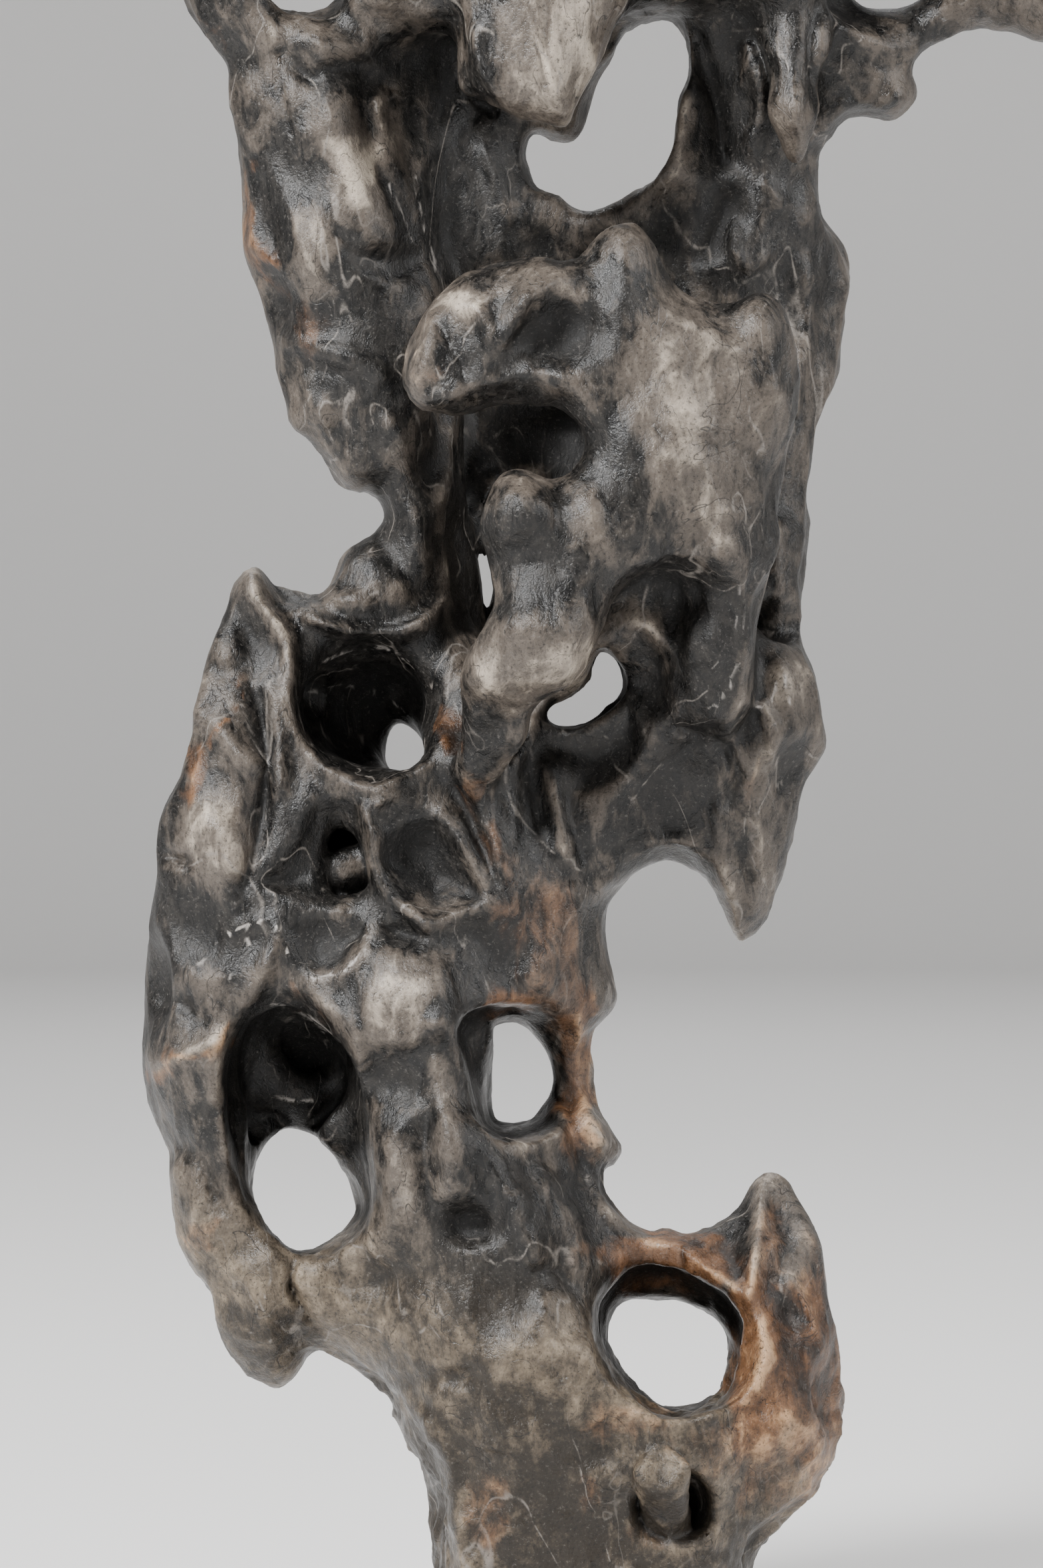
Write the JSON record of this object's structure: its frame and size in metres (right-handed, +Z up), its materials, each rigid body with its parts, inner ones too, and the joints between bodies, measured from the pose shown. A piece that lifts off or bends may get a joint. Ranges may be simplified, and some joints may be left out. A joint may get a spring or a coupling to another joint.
{
  "type": "scholars rock",
  "caption": "Upright water-worn ornamental stone, pierced right through, with folds, ridges and hollows all round and a flat foot.",
  "frame": {"origin": "bottom centre of the stone's bounding box, on the plane that its flat foot rests on", "axes": "+Z up along the stone's height, -Y towards its display face, +X to the right as that face is seen"},
  "size_m": [0.3676, 0.1742, 0.7646],
  "materials": {
    "limestone": "satin"
  },
  "bodies": {
    "root": {"stone": "limestone"}
  },
  "joints": []
}
